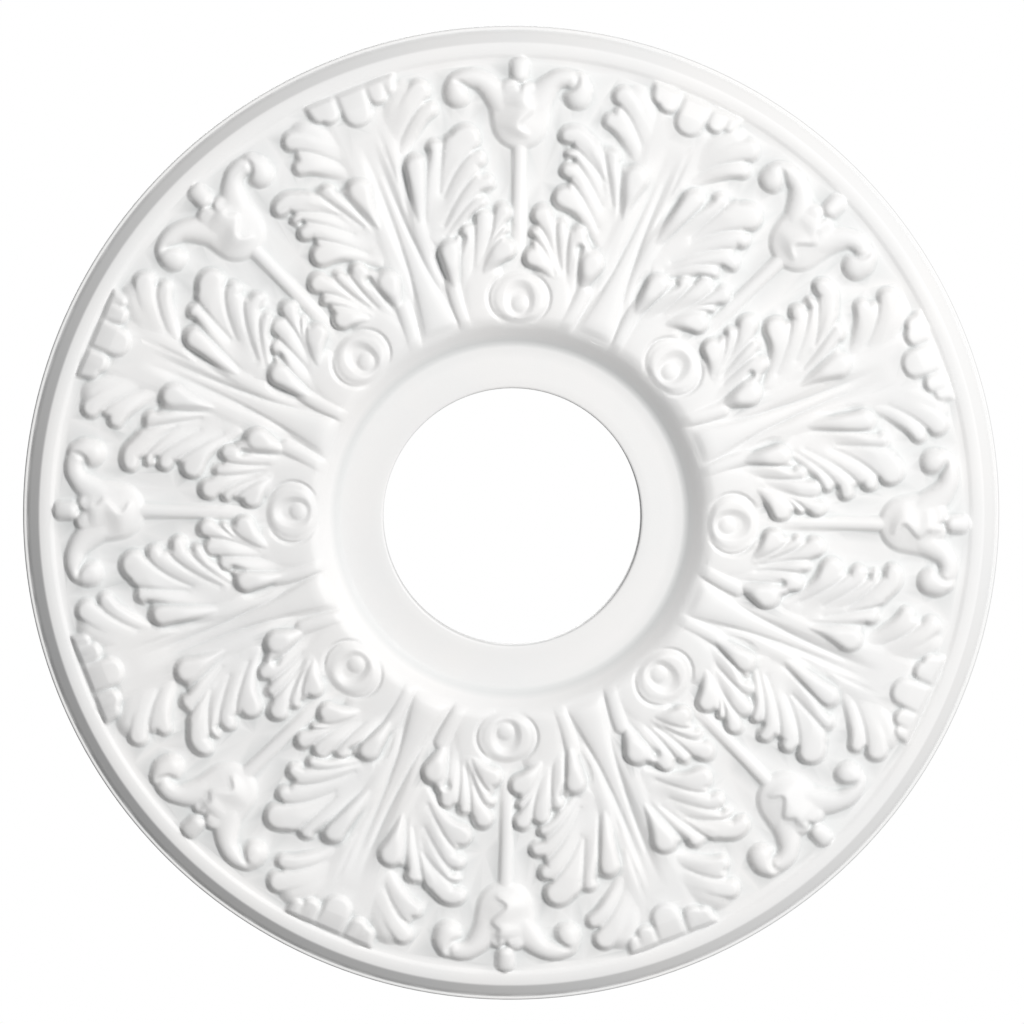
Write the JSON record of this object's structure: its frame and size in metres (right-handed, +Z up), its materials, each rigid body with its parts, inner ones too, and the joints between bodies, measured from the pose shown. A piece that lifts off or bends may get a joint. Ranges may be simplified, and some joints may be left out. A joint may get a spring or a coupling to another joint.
{
  "type": "ceiling rose",
  "caption": "Round white ceiling rose cast with acanthus leaves and tulips, with a dished centre and a wire hole, that covers a lamp's ceiling box.",
  "frame": {"origin": "centre of the flat back, where it meets the ceiling", "axes": "+Z up into the ceiling, along the rose's axis; the carved face looks down, -Z; -Y runs to the middle of a tulip"},
  "size_m": [0.406, 0.406, 0.0193],
  "materials": {
    "painted_casting": "satin white paint on rigid foam"
  },
  "bodies": {
    "root": {"ceiling_rose": "painted_casting"}
  },
  "joints": []
}
